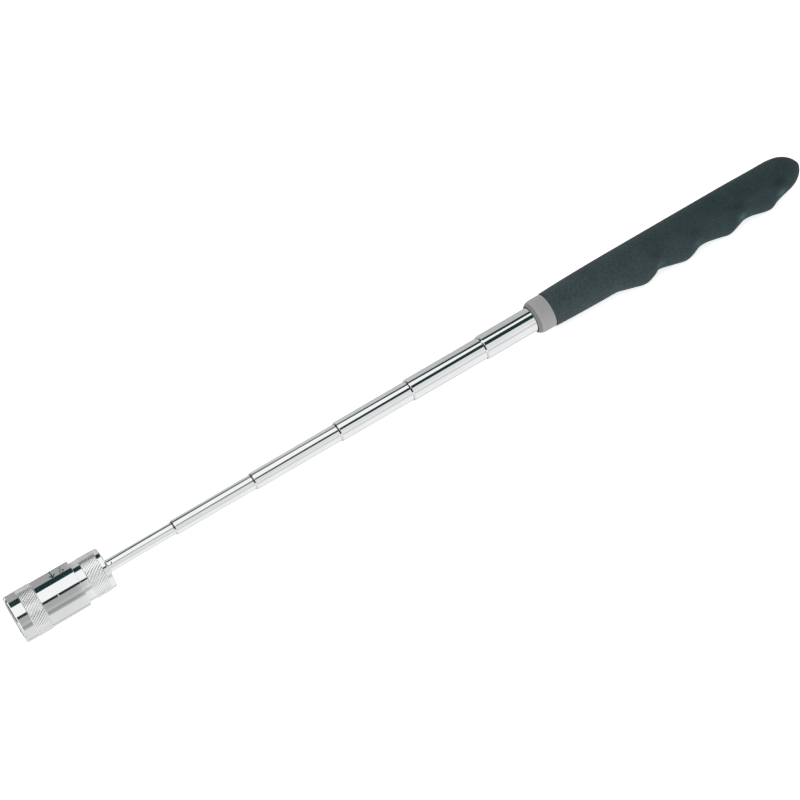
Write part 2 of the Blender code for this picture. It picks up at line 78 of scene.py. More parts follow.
# Collar and grip.
COLLAR_SHOULDER = 246.2
GRIP_FRONT = 253.1
GRIP_TIP = 382.9
GRIP_R = 8.35
GRIP_END_R = 8.1
GRIP_NECK_DEPTH = 0.7
GRIP_NECK_LENGTH = 46.0
GRIP_TAPER_START = 345.0
GRIP_TAPER_LENGTH = 20.0
GRIP_ROUNDING_START = 366.0
GRIP_BORE_R = 6.9
GRIP_BORE_END = 364.3
FLAT_ANGLE = 67.5
RIDGE_POINTS = (
    (279.0, 0.0),
    (283.0, 0.0),
    (290.0, 1.7),
    (296.4, 3.15),
    (301.2, 2.0),
    (304.2, 0.65),
    (310.6, 1.9),
    (317.3, 3.3),
    (321.2, 2.5),
    (324.8, 1.1),
    (329.2, 1.0),
    (335.5, 2.2),
    (340.0, 3.05),
    (344.4, 1.95),
    (348.2, 0.85),
    (352.4, 1.0),
    (361.4, 2.9),
    (366.0, 1.35),
    (370.5, 0.3),
    (375.0, 0.0),
    (379.0, 0.0),
)
# Hollows beside the valleys: place along the grip, and strength, which also scales the painted
# shade and highlight beside each.
SCOOPS = ((304.8, 0.7), (324.1, 0.7), (347.2, 1.0), (368.3, 1.1))

# Marks on the battery sleeve: distance along the tool, and angle round it.
SLEEVE_R = 10.0
ARROW_X = 20.9
ARROW_TIP = 114.5
ARROW_TAIL = 153.0
ARROW_BARB = 1.1
ARROW_BARB_ARC = 1.6
ARROW_STROKE = 0.5
MARK_X = 25.1
RING_ANGLE = 120.5
RING_R = 0.8
RING_STROKE = 0.34
DASH_ANGLE = 134.5
DASH_LENGTH = 0.7
MARK_WALL = 0.07
MARK_DEPTH = 0.1

# A dimple on the sleeve and the crimps of tube 6: place and angle, depth and radius.
DIMPLE = (19.2, 69.0)
DIMPLE_DEPTH = 0.07
DIMPLE_R = 0.2
CRIMP = (44.3, 82.0)
CRIMP_DEPTH = 0.09
CRIMP_R = 0.42

# Studio.
TOOL_MIDDLE = (0.19, 0.0, 0.0)
WORLD_LIGHT = 0.6
FLOOR_SIZE = 40.0
FLOOR_GLOW = 0.45
TENT_R = 1.5
TENT_ENDS = (-14.0, 2.6)


# ---------------------------------------------------------------- materials


def material_tree(name):
    material = bpy.data.materials.new(name)
    material.use_nodes = True
    tree = material.node_tree
    return material, tree, tree.nodes["Principled BSDF"]


def add_node(tree, kind, settings=(), values=()):
    node = tree.nodes.new(kind)
    for key, value in dict(settings).items():
        setattr(node, key, value)
    for key, value in dict(values).items():
        node.inputs[key].default_value = value
    return node


def object_place(tree, stretch=(1.0, 1.0, 1.0)):
    """The surface point in metres, stretched along each axis."""
    place = add_node(tree, "ShaderNodeTexCoord")
    mapping = add_node(tree, "ShaderNodeMapping", values={"Scale": stretch})
    tree.links.new(place.outputs["Object"], mapping.inputs["Vector"])
    return mapping.outputs["Vector"]


def noise(tree, scale, detail=3.0, stretch=(1.0, 1.0, 1.0), rough=0.55):
    values = {"Scale": scale, "Detail": detail, "Roughness": rough}
    node = add_node(tree, "ShaderNodeTexNoise", values=values)
    tree.links.new(object_place(tree, stretch), node.inputs["Vector"])
    return node.outputs["Fac"]


def cells(tree, scale):
    node = add_node(tree, "ShaderNodeTexVoronoi", values={"Scale": scale})
    tree.links.new(object_place(tree), node.inputs["Vector"])
    return node.outputs["Distance"]


def spread(tree, fac, low, high, start=0.3, end=0.7):
    """Map a 0-to-1 pattern between start and end onto low to high."""
    values = {"From Min": start, "From Max": end, "To Min": low, "To Max": high}
    node = add_node(tree, "ShaderNodeMapRange", values=values)
    tree.links.new(fac, node.inputs["Value"])
    return node.outputs["Result"]


def add_up(tree, first, second):
    node = add_node(tree, "ShaderNodeMath", {"operation": "ADD"})
    tree.links.new(first, node.inputs[0])
    tree.links.new(second, node.inputs[1])
    return node.outputs["Value"]


def mix(tree, fac, first, second):
    """A colour between two others, each of them a colour or the output of a node."""
    node = add_node(tree, "ShaderNodeMix", {"data_type": "RGBA"})
    sockets = [socket for socket in node.inputs if socket.type == "RGBA"]
    for socket, colour in zip(sockets, (first, second)):
        if isinstance(colour, tuple):
            socket.default_value = (*colour, 1.0)
        else:
            tree.links.new(colour, socket)
    tree.links.new(fac, node.inputs["Factor"])
    return next(socket for socket in node.outputs if socket.type == "RGBA")


def bump(tree, shader, height, depth, strength):
    """Fine relief of a surface, of a depth in millimetres."""
    values = {"Strength": strength, "Distance": depth * MM}
    node = add_node(tree, "ShaderNodeBump", values=values)
    tree.links.new(height, node.inputs["Height"])
    tree.links.new(node.outputs["Normal"], shader.inputs["Normal"])


def chrome():
    """Polished plating: faint turning lines, soft stains and a little waviness."""
    material, tree, shader = material_tree("chrome")
    shader.inputs["Metallic"].default_value = 1.0
    stain = noise(tree, 160.0, 4.0)
    colour = mix(tree, spread(tree, stain, 0, 1), (0.9, 0.905, 0.91), (0.86, 0.87, 0.88))
    tree.links.new(colour, shader.inputs["Base Color"])
    lines = noise(tree, 900.0, 2.0, (9.0, 1.0, 1.0))
    rough = add_up(tree, spread(tree, lines, 0.02, 0.045), spread(tree, stain, 0.0, 0.02))
    tree.links.new(rough, shader.inputs["Roughness"])
    bump(tree, shader, noise(tree, 260.0, 2.0), 0.01, 0.35)
    return material


def metal(name, first, second, low, high, scale, grain=(1.0, 1.0, 1.0)):
    """A metal stained between two colours, with a grain between two roughnesses."""
    material, tree, shader = material_tree(name)
    shader.inputs["Metallic"].default_value = 1.0
    stain = noise(tree, scale, 5.0)
    colour = mix(tree, spread(tree, stain, 0, 1), first, second)
    tree.links.new(colour, shader.inputs["Base Color"])
    lines = noise(tree, scale * 8, 3.0, grain)
    tree.links.new(spread(tree, lines, low, high), shader.inputs["Roughness"])
    bump(tree, shader, lines, 0.01, 0.5)
    return material


def painted(tree, colour):
    """A colour, tinted by the painted shade and painted highlight stored on the mesh."""
    shade = add_node(tree, "ShaderNodeAttribute", {"attribute_name": "shade"})
    tinted = add_node(tree, "ShaderNodeVectorMath", {"operation": "SCALE"})
    tree.links.new(colour, tinted.inputs[0])
    tree.links.new(shade.outputs["Fac"], tinted.inputs["Scale"])
    return tinted.outputs["Vector"]


def plastic(name, first, second, low, high, grain_scale, relief, tinted=False):
    """Moulded plastic between two colours and two roughnesses, with a fine cast grain."""
    material, tree, shader = material_tree(name)
    patches = noise(tree, 60.0, 4.0)
    grain = noise(tree, grain_scale, 4.0, rough=0.65)
    both = add_up(tree, spread(tree, patches, 0.0, 0.35), spread(tree, grain, 0.0, 0.65))
    colour = mix(tree, both, first, second)
    # The painted shade stored on the mesh tints the colour.
    if tinted:
        colour = painted(tree, colour)
    tree.links.new(colour, shader.inputs["Base Color"])
    tree.links.new(spread(tree, grain, low, high), shader.inputs["Roughness"])
    pits = spread(tree, cells(tree, grain_scale * 0.6), 0.0, 1.0, 0.1, 0.8)
    bump(tree, shader, add_up(tree, grain, pits), relief, 0.6)
    return material


def grip_rubber():
    """Dark rubber: paler towards the collar and darker towards the rear, a painted shade, with a
    painted shade and a painted highlight beside the finger valleys.
    """
    material, tree, shader = material_tree("grip_rubber")
    shader.inputs["Specular IOR Level"].default_value = 0.35
    grain = noise(tree, 1300.0, 2.0, rough=0.6)
    patches = noise(tree, 90.0, 3.0)
    both = add_up(tree, spread(tree, patches, 0.0, 0.25), spread(tree, grain, 0.0, 0.75, 0.3, 0.7))
    front = mix(tree, both, (0.0095, 0.0195, 0.0212), (0.0442, 0.0657, 0.07))
    # Towards the rear the rubber is darker: a painted shade.
    rear = mix(tree, both, (0.0042, 0.0124, 0.0134), (0.0233, 0.0455, 0.0481))
    place = add_node(tree, "ShaderNodeSeparateXYZ")
    tree.links.new(object_place(tree), place.inputs["Vector"])
    rear_painted_shade_share = spread(tree, place.outputs["X"], 0.0, 1.0, 0.26, 0.34)
    colour = mix(tree, rear_painted_shade_share, front, rear)
    tree.links.new(painted(tree, colour), shader.inputs["Base Color"])
    tree.links.new(spread(tree, grain, 0.6, 0.8), shader.inputs["Roughness"])
    pits = spread(tree, cells(tree, 500.0), 0.0, 1.0, 0.1, 0.8)
    bump(tree, shader, add_up(tree, grain, pits), 0.05, 0.6)
    return material


def clear_epoxy():
    """The slightly hazy lens of an LED."""
    material, tree, shader = material_tree("led_clear")
    shader.inputs["Transmission Weight"].default_value = 0.55
    shader.inputs["IOR"].default_value = 1.5
    haze = noise(tree, 700.0, 3.0)
    colour = mix(tree, spread(tree, haze, 0, 1), (0.9, 0.93, 0.92), (0.8, 0.84, 0.84))
    tree.links.new(colour, shader.inputs["Base Color"])
    tree.links.new(spread(tree, haze, 0.03, 0.1), shader.inputs["Roughness"])
    bump(tree, shader, haze, 0.004, 0.3)
    return material


def circuit_board():
    """Green solder mask over copper tracks."""
    material, tree, shader = material_tree("board")
    tracks = cells(tree, 900.0)
    mask = spread(tree, tracks, 0, 1, 0.3, 0.36)
    tree.links.new(
        mix(tree, mask, (0.02, 0.2, 0.07), (0.015, 0.12, 0.05)), shader.inputs["Base Color"]
    )
    tree.links.new(spread(tree, noise(tree, 1500.0), 0.3, 0.45), shader.inputs["Roughness"])
    bump(tree, shader, mask, 0.03, 0.6)
    return material


def make_looks():
    around = (1.0, 6.0, 6.0)
    along = (12.0, 1.0, 1.0)
    return {
        "chrome": chrome(),
        "knurl_chrome": metal(
            "knurl_chrome", (0.98, 0.98, 0.98), (0.94, 0.945, 0.95), 0.12, 0.18, 400.0
        ),
        # Rougher plating for the knurl's grooves, darker by a painted shade.
        "groove_chrome_painted_shade": metal(
            "groove_chrome_painted_shade", (0.8, 0.81, 0.81), (0.7, 0.71, 0.71), 0.2, 0.3, 400.0
        ),
        "etched": metal("etched", (0.1, 0.115, 0.115), (0.06, 0.075, 0.075), 0.5, 0.7, 500.0),
        "grip_rubber": grip_rubber(),
        "collar_plastic": plastic(
            "collar_plastic",
            (0.228, 0.228, 0.231),
            (0.283, 0.283, 0.286),
            0.45,
            0.6,
            1500.0,
            0.015,
            tinted=True,
        ),
        "black_plastic": plastic(
            "black_plastic", (0.012, 0.012, 0.013), (0.03, 0.03, 0.032), 0.35, 0.55, 2600.0, 0.02
        ),
        "magnet_nickel": metal(
            "magnet_nickel", (0.66, 0.64, 0.6), (0.52, 0.5, 0.46), 0.16, 0.32, 420.0, around
        ),
        "steel": metal("steel", (0.5, 0.5, 0.5), (0.4, 0.4, 0.41), 0.25, 0.42, 300.0, along),
        "cell_nickel": metal(
            "cell_nickel", (0.68, 0.66, 0.62), (0.6, 0.58, 0.54), 0.2, 0.34, 260.0, around
        ),
        "led_clear": clear_epoxy(),
        "board": circuit_board(),
        "brass": metal("brass", (0.78, 0.57, 0.25), (0.62, 0.43, 0.17), 0.22, 0.4, 320.0, along),
        "bronze": metal("bronze", (0.62, 0.38, 0.2), (0.48, 0.29, 0.15), 0.25, 0.42, 320.0, around),
        "liner": plastic("liner", (0.8, 0.77, 0.68), (0.87, 0.85, 0.77), 0.7, 0.85, 1500.0, 0.03),
        "nitrile": plastic(
            "nitrile", (0.012, 0.012, 0.012), (0.028, 0.028, 0.028), 0.5, 0.7, 2500.0, 0.02
        ),
        "phosphor": plastic(
            "phosphor", (0.75, 0.6, 0.1), (0.82, 0.7, 0.2), 0.6, 0.75, 4000.0, 0.01
        ),
    }


# ---------------------------------------------------------------- meshes


def rounded(outline):
    """Round the corners of an outline: each point is (along, radius) or (along, radius, size)."""
    steps = 5
    points = []
    count = len(outline)
    for i, (x, r, *size) in enumerate(outline):
        if not size:
            points.append((x, r))
            continue
        corner = Vector((x, r))
        before = Vector(outline[i - 1][:2]) - corner
        after = Vector(outline[(i + 1) % count][:2]) - corner
        start = corner + before.normalized() * size[0]
        end = corner + after.normalized() * size[0]
        for step in range(steps + 1):
            share = step / steps
            point = start * (1 - share) ** 2 + corner * 2 * share * (1 - share) + end * share**2
            points.append((point.x, point.y))
    return supported(points)


def supported(points):
    """Add a row beside each end of a long straight stretch, which keeps its shading straight."""
    long_stretch, beside = 0.12, 0.03
    result = []
    for here, there in zip(points, points[1:]):
        result.append(here)
        a, b = Vector(here), Vector(there)
        if (b - a).length > long_stretch and a.y > 0 and b.y > 0:
            step = (b - a).normalized() * beside
            result += [tuple(a + step), tuple(b - step)]
    return [*result, points[-1]]


def even_angles(sides):
    """Angles of a piece's columns, in radians."""
    return [tau * i / sides for i in range(sides)]


def turned(name, outline, angles, skin=None):
    """A piece turned round X.

    The outline runs from the front along the outside and back through the bore, or starts and
    ends on the axis. skin(x, angle, radius) gives the radius where the surface isn't round.
    """
    vertices = []
    rows = []
    for x, radius in outline:
        if radius == 0:
            rows.append([len(vertices)])
            vertices.append((x * MM, 0.0, 0.0))
            continue
        rows.append(list(range(len(vertices), len(vertices) + len(angles))))
        for angle in angles:
            r = skin(x, angle, radius) if skin else radius
            vertices.append((x * MM, -r * cos(angle) * MM, r * sin(angle) * MM))
    faces = []
    through = outline[0][1] > 0 and outline[-1][1] > 0
    for row in range(len(rows) if through else len(rows) - 1):
        here, there = rows[row], rows[(row + 1) % len(rows)]
        for i in range(len(angles)):
            j = (i + 1) % len(angles)
            if len(here) == 1:
                faces.append((here[0], there[j], there[i]))
            elif len(there) == 1:
                faces.append((here[i], here[j], there[0]))
            else:
                faces.append((here[i], here[j], there[j], there[i]))
    return mesh_object(name, vertices, faces)


def mesh_object(name, vertices, faces, sharp=SHARP):
    """A closed mesh object, with its normals outwards and sharp edges kept sharp."""
    mesh = bpy.data.meshes.new(name)
    mesh.from_pydata(vertices, [], faces)
    bm = bmesh.new()
    bm.from_mesh(mesh)
    bmesh.ops.recalc_face_normals(bm, faces=bm.faces)
    bm.to_mesh(mesh)
    bm.free()
    mesh.shade_smooth()
    mesh.set_sharp_from_angle(angle=radians(sharp))
    piece = bpy.data.objects.new(name, mesh)
    bpy.context.scene.collection.objects.link(piece)
    return piece


def dress(piece, look, body, *nodes):
    """Give a piece its material, the body it rides on and the CAD nodes that it stands for."""
    piece.data.materials.append(looks[look])
    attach(piece, body)
    if nodes:
        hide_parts(*nodes)
    return piece


def cut(piece, cutters):
    """Cut shapes out of a piece, and keep the result as its mesh."""
    for cutter in cutters:
        boolean = piece.modifiers.new(cutter.name, "BOOLEAN")
        boolean.operation = "DIFFERENCE"
        boolean.solver = "EXACT"
        boolean.object = cutter
    graph = bpy.context.evaluated_depsgraph_get()
    mesh = bpy.data.meshes.new_from_object(piece.evaluated_get(graph))
    piece.modifiers.clear()
    piece.data = mesh
    for cutter in cutters:
        bpy.data.objects.remove(cutter, do_unlink=True)
    mesh.shade_smooth()
    mesh.set_sharp_from_angle(angle=radians(SHARP))


def fine_steps(low, high, coarse, zones):
    """Positions from low to high, close together inside the zones (from, to, step)."""
    slack = 1e-6
    positions = []
    here = low
    while here < high - slack:
        positions.append(here)
        step = coarse
        for start, end, fine in zones:
            if start - slack <= here < end - slack:
                step = min(step, fine)
            elif here < start:
                step = min(step, start - here)
        here += step
    return positions


# ---------------------------------------------------------------- lamp head


def knurl_skin(start, end, starts, depth):
    """Skin of a knurl: round-topped ridges of one hand, with a lighter cut of the other hand."""
    runout = 0.08
    slack = 1e-6
    wheels = ((-1, 1.0), (1, 0.35))

    def skin(x, angle, radius):
        if not start - slack <= x <= end + slack or radius < BORE_LIMIT:
            return radius
        cut = 0.0
        for hand, share in wheels:
            phase = starts * angle / tau + hand * (x - start) / KNURL_LEAD
            cut = max(cut, share * (0.5 + 0.5 * cos(tau * phase)))
        fade = smooth_step(min(x - start, end - x) / runout)
        return radius - depth * cut * fade

    return skin


def shade_knurl(piece, start, end, radius, depth):
    """Give the knurl its satin plating, which polishing doesn't reach, rougher in the grooves and
    darker there by a painted shade.
    """
    piece.data.materials.append(looks["knurl_chrome"])
    piece.data.materials.append(looks["groove_chrome_painted_shade"])
    lowest, groove = 1.3 * depth, 0.6 * depth
    for face in piece.data.polygons:
        x, y, z = face.center / MM
        sunk = radius - sqrt(y * y + z * z)
        if start < x < end and sunk < lowest:
            # Faces sunk into the grooves get the rougher plating with the painted shade.
            face.material_index = 2 if sunk > groove else 1


def knurl_rows(start, end, radius):
    """Rows of a knurl's outline, as fine as its columns."""
    rows = round((end - start) / (KNURL_LEAD / KNURL_CELLS / 2))
    return [(start + (end - start) * i / rows, radius) for i in range(rows + 1)]


def make_front_bezel():
    starts, start, end, radius, depth = 56, 5.5, 11.8, 10.3, 0.1
    outline = rounded(
        [
            (1.3, 8.0),
            (0.0, 8.0, 0.1),
            (0.0, 9.8, 0.2),
            (0.45, 10.185, 0.05),
            (0.85, 10.2, 0.05),
            (5.35, 10.2, 0.08),
            (5.45, 10.3),
            *knurl_rows(start, end, radius),
            (11.85, 10.25),
            (11.9, 10.15),
            (11.9, 9.5),
            (7.6, 9.5),
            (7.6, 8.7),
            (1.3, 8.7),
        ]
    )
    skin = knurl_skin(start, end, starts, depth)
    bezel = turned("bezel_ring", outline, even_angles(starts * KNURL_CELLS), skin)
    dress(bezel, "chrome", "lamp", "front_bezel")
    shade_knurl(bezel, start, end, radius, depth)


def engraved(distance, width):
    """How deep a point lies in an engraved line with soft walls: 0 outside, 1 on its floor."""
    return max(0.0, min(1.0, (width / 2 - distance) / MARK_WALL + 0.5))


def stroke(point, start, end, width):
    """How deep a point lies in a straight engraved line."""
    line = end - start
    share = max(0.0, min(1.0, (point - start).dot(line) / line.length_squared))
    return engraved((point - start - line * share).length, width)


def sleeve_marks(x, arc):
    """Depth of the sleeve's engraved marks, from 0 to 1, at a point on its unrolled surface."""
    point = Vector((x, arc))
    tip = Vector((ARROW_X, SLEEVE_R * radians(ARROW_TIP)))
    tail = Vector((ARROW_X, SLEEVE_R * radians(ARROW_TAIL)))
    depth = stroke(point, tip, tail, ARROW_STROKE)
    for side in (-1, 1):
        barb = tip + Vector((side * ARROW_BARB, ARROW_BARB_ARC))
        depth = max(depth, stroke(point, tip, barb, ARROW_STROKE))
    ring = Vector((MARK_X, SLEEVE_R * radians(RING_ANGLE)))
    depth = max(depth, engraved(abs((point - ring).length - RING_R), RING_STROKE))
    dash = Vector((MARK_X, SLEEVE_R * radians(DASH_ANGLE)))
    half_dash = Vector((DASH_LENGTH / 2, 0))
    return max(depth, stroke(point, dash - half_dash, dash + half_dash, ARROW_STROKE))


def make_battery_sleeve():
    """The barrel, with fine rows and columns where the marks and the dimple are."""
    fine = 0.07
    low_angle, high_angle = ARROW_TIP - 4, ARROW_TAIL + 3
    step = degrees(fine / SLEEVE_R)
    dimple_zone = (DIMPLE[1] - 4, DIMPLE[1] + 4, 2 * step)
    angles = fine_steps(0.0, 360.0, 2.5, [dimple_zone, (low_angle, high_angle, step)])
    stations = fine_steps(
        12.5,
        28.3,
        1.2,
        [
            (DIMPLE[0] - 0.7, ARROW_X - ARROW_BARB - 0.4, 2 * fine),
            (ARROW_X - ARROW_BARB - 0.4, ARROW_X + ARROW_BARB + 0.4, fine),
            (MARK_X - 1.2, MARK_X + 1.2, fine),
        ],
    )
    outline = rounded(
        [
            (7.9, 9.2),
            (12.05, 9.2),
            (12.05, SLEEVE_R, 0.06),
            *[(x, SLEEVE_R) for x in stations],
            (28.95, SLEEVE_R, 0.06),
            (28.95, 8.1),
            (7.9, 8.1),
        ]
    )

    def skin(x, angle, radius):
        if radius < SLEEVE_R:
            return radius
        turn = degrees(angle)
        if low_angle < turn < high_angle:
            radius -= MARK_DEPTH * sleeve_marks(x, SLEEVE_R * angle)
        across = SLEEVE_R * radians(turn - DIMPLE[1])
        distance = sqrt((x - DIMPLE[0]) ** 2 + across**2)
        return radius - DIMPLE_DEPTH * exp(-((distance / DIMPLE_R) ** 4))

    sleeve = turned("sleeve_barrel", outline, [radians(a) for a in angles], skin)
    dress(sleeve, "chrome", "lamp", "battery_sleeve")
    sleeve.data.materials.append(looks["etched"])
    for face in sleeve.data.polygons:
        x, y, z = face.center / MM
        angle = atan2(z, -y)
        near = low_angle < degrees(angle) < high_angle and 19 < x < 28
        outside = sqrt(y * y + z * z) > SLEEVE_R - 0.5
        if near and outside and sleeve_marks(x, SLEEVE_R * angle) > 0.3:
            face.material_index = 1


def make_rear_cap():
    starts, start, end, radius, depth = 48, 32.5, 39.25, 8.95, 0.055
    outline = rounded(
        [
            (22.0, 7.0),
            (22.0, 7.7),
            (25.6, 7.7),
            (25.6, 7.3),
            (26.6, 7.3),
            (26.6, 7.7),
            (29.01, 7.7),
            (29.01, 8.8, 0.05),
            (32.35, 8.8, 0.08),
            (32.45, 8.95),
            *knurl_rows(start, end, radius),
            (39.3, 8.9),
            (39.35, 8.8),
            (41.6, 8.8, 0.6),
            (41.6, 2.5, 0.15),
            (36.5, 2.5),
            (36.5, 7.0),
        ]
    )
    skin = knurl_skin(start, end, starts, depth)
    cap = turned("cap_turning", outline, even_angles(starts * KNURL_CELLS), skin)
    dress(cap, "chrome", "section_6", "rear_cap")
    shade_knurl(cap, start, end, radius, depth)


def led_places():
    """Centre of each LED on its circle, the first one at the top."""
    count, circle_r = 3, 6.2
    for index in range(count):
        angle = tau * index / count
        yield index + 1, -circle_r * sin(angle), circle_r * cos(angle)


def shift(piece, y, z):
    """Move a piece's mesh sideways, in millimetres."""
    piece.data.transform(Matrix.Translation((0.0, y * MM, z * MM)))


def make_magnet():
    magnet = rounded([(0.0, 0.0), (0.0, 3.4, 0.22), (4.0, 3.4, 0.22), (4.0, 0.0)])
    disc = turned("magnet_disc", magnet, even_angles(SMALL_SIDES))
    dress(disc, "magnet_nickel", "lamp", "magnet")
    cup = rounded(
        [(4.3, 0.0), (4.3, 3.6), (0.0, 3.6, 0.1), (0.0, 4.3, 0.25), (5.0, 4.3, 0.3), (5.0, 0.0)]
    )
    pot = turned("magnet_pot", cup, even_angles(SMALL_SIDES))
    dress(pot, "steel", "lamp", "magnet_cup")


def make_led_holder():
    outline = rounded(
        [(5.3, 0.0), (5.3, 4.5), (1.6, 4.5, 0.25), (1.6, 8.4, 0.3), (7.6, 8.4, 0.2), (7.6, 0.0)]
    )
    holder = turned("led_face", outline, even_angles(HEAD_SIDES))
    bore = rounded(
        [
            (0.5, 0.0),
            (0.5, 2.4),
            (1.6, 1.9),
            (2.1, 1.65),
            (5.4, 1.65),
            (5.4, 2.05),
            (8.6, 2.05),
            (8.6, 0.0),
        ]
    )
    cutters = []
    for index, y, z in led_places():
        cutter = turned(f"bore_{index}", bore, even_angles(SMALL_SIDES))
        shift(cutter, y, z)
        cutters.append(cutter)
    cut(holder, cutters)
    dress(holder, "black_plastic", "lamp", "led_holder")


def make_leds():
    lens_r, tip = 1.5, 0.9
    dome = [(tip, 0.0)]
    dome_steps = 10
    for i in range(1, dome_steps + 1):
        angle = (pi / 2) * i / dome_steps
        dome.append((tip + lens_r * (1 - cos(angle)), lens_r * sin(angle)))
    lens = dome + rounded([(5.6, lens_r), (5.6, 1.9, 0.1), (6.5, 1.9, 0.1), (6.5, 0.0)])
    well = rounded([(3.4, 0.0), (3.4, 0.42), (3.0, 0.62, 0.04), (4.4, 0.62, 0.1), (4.4, 0.0)])
    glow = rounded([(3.12, 0.0), (3.12, 0.5, 0.05), (3.36, 0.36), (3.36, 0.0)])
    for index, y, z in led_places():
        for name, outline, look, node in (
            (f"led_lens_{index}", lens, "led_clear", f"led_{index}"),
            (f"led_cup_{index}", well, "steel", None),
            (f"led_chip_{index}", glow, "phosphor", None),
        ):
            piece = turned(name, outline, even_angles(SMALL_SIDES))
            shift(piece, y, z)
            piece.data.materials.append(looks[look])
            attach(piece, "lamp")
            if node:
                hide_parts(node)


# ---------------------------------------------------------------- tubes and handle


def make_tube(number):
    radius, front, end = TUBES[number]
    bore = radius - TUBE_WALL
    if number == 6:
        zone = (CRIMP[0] - 1.2, CRIMP[0] + 1.2, 0.1)
        stations = fine_steps(front + 0.2, CRIMP[0] + 2.0, 0.3, [zone])
        outline = rounded([(front, bore), (front, radius, 0.08)])
        outline += [(x, radius) for x in stations] + [(end, radius), (end, bore)]
    else:
        lip = TUBES[number + 1][0] + 0.12
        outline = rounded(
            [
                (front, lip, 0.03),
                (front, lip + 0.1, 0.06),
                (front + 0.6, radius, 0.12),
                (end, radius),
                (end, bore),
                (front + 0.95, bore),
                (front + 0.6, lip),
            ]
        )

    def crimped(x, angle, r):
        if number != 6 or r < radius or x > CRIMP[0] + 3:
            return r
        for turn in (CRIMP[1], CRIMP[1] + 180):
            across = radius * ((angle - radians(turn) + pi) % tau - pi)
            distance = sqrt((x - CRIMP[0]) ** 2 + across**2)
            r -= CRIMP_DEPTH * exp(-((distance / CRIMP_R) ** 3))
        return r

    body = "handle" if number == 1 else f"section_{number}"
    tube = turned(f"chrome_tube_{number}", outline, even_angles(TUBE_SIDES), crimped)
    dress(tube, "chrome", body, f"tube_{number}")


def paint_shade(piece, tint):
    """Store a piece's painted shade and painted highlight as a tint of its skin, from the distance
    along the tool and the angle round it.
    """
    shade = piece.data.attributes.new("shade", "FLOAT", "POINT")
    for vertex in piece.data.vertices:
        x, y, z = vertex.co / MM
        shade.data[vertex.index].value = tint(x, atan2(z, -y))


def make_collar():
    outline = rounded(
        [
            (361.6, 0.0),
            (361.6, 5.8),
            (244.9, 5.8, 0.1),
            (244.9, 6.35, 0.2),
            (246.8, 7.45, 0.9),
            (252.8, 7.45, 0.12),
            (252.8, 6.6),
            (364.0, 6.6),
            (364.0, 0.0),
        ]
    )
    # The front chamfer gets a painted shade, darker than the rest of the collar.
    chamfer_painted_shade = 0.62
    collar = turned("collar", outline, even_angles(HEAD_SIDES))
    paint_shade(collar, lambda x, turn: chamfer_painted_shade if x < COLLAR_SHOULDER else 1.0)
    dress(collar, "collar_plastic", "handle", "handle_core")


def smooth_step(share):
    share = min(1.0, max(0.0, share))
    return share * share * (3 - 2 * share)


def ridge_height(x):
    """Height of the finger ridges above the round grip."""
    points = RIDGE_POINTS
    for (xa, ha), (x0, h0), (x1, h1), (xb, hb) in zip(points, points[1:], points[2:], points[3:]):
        if x0 <= x <= x1:
            length = x1 - x0
            share = (x - x0) / length
            start = (h1 - ha) / (x1 - xa) * length
            end = (hb - h0) / (xb - x0) * length
            bend = start * share * (1 - share) ** 2 - end * share**2 * (1 - share)
            return max(0.0, h0 + (h1 - h0) * smooth_step(share) + bend)
    return 0.0


def grip_radius(x):
    """Radius of the round part of the grip: it swells behind the collar and ends in a blunt tip."""
    narrowing = GRIP_NECK_DEPTH * (1 - (x - GRIP_FRONT) / GRIP_NECK_LENGTH) ** 3
    radius = GRIP_R - max(0.0, narrowing)
    if x > GRIP_TAPER_START:
        radius -= (GRIP_R - GRIP_END_R) * smooth_step((x - GRIP_TAPER_START) / GRIP_TAPER_LENGTH)
    if x > GRIP_ROUNDING_START:
        share = min(1.0, (x - GRIP_ROUNDING_START) / (GRIP_TIP - GRIP_ROUNDING_START))
        radius *= (1 - share**3.2) ** 0.75
    return radius


def grip_section_radius(angle, radius, ridge):
    """Distance from the axis to the grip's skin, at an angle from the ridge's direction."""
    flat = radians(FLAT_ANGLE)
    shrink = cos(flat) / (1 - cos(flat))
    ridge_r = radius - shrink * ridge
    ridge_centre = (1 + shrink) * ridge
    angle = abs(angle)
    touch = atan2(ridge_r * sin(flat), ridge_centre + ridge_r * cos(flat))
    if angle >= flat:
        return radius
    if angle >= touch:
        return radius / cos(flat - angle)
    across = ridge_centre * sin(angle)
    return ridge_centre * cos(angle) + sqrt(ridge_r * ridge_r - across * across)


def scoop(x, angle):
    """Depth of the moulded hollows beside each valley between the finger ridges."""
    depth, half_length, half_width, middle = 0.5, 4.0, radians(14), radians(54)
    across = (abs(angle) - middle) / half_width
    total = 0.0
    for valley, strength in SCOOPS:
        total += strength * exp(-(((x - valley) / half_length) ** 2))
    return depth * total * exp(-(across**2))


def patch(x, angle, place, half_length, half_width):
    """Weight of a soft oval patch, round a place given as distance along and degrees round."""
    along = (x - place[0]) / half_length
    across = (angle - radians(place[1])) / radians(half_width)
    return exp(-(along**2) - across**2)


def valley_painted_shade_and_highlight(x, angle):
    """Tint of the skin beside the valleys: a painted shade above each hollow and a painted
    highlight below it.
    """
    dark, light = 0.55, 1.5
    tint = 1.0
    for valley, strength in SCOOPS:
        lean = 0.5 * (degrees(angle) - 55) / 10
        tint -= dark * strength * patch(x + lean, angle, (valley, 69), 3.6, 16)
        tint += light * strength**2 * patch(x, angle, (valley - 0.4, 35), 2.2, 9)
    return tint


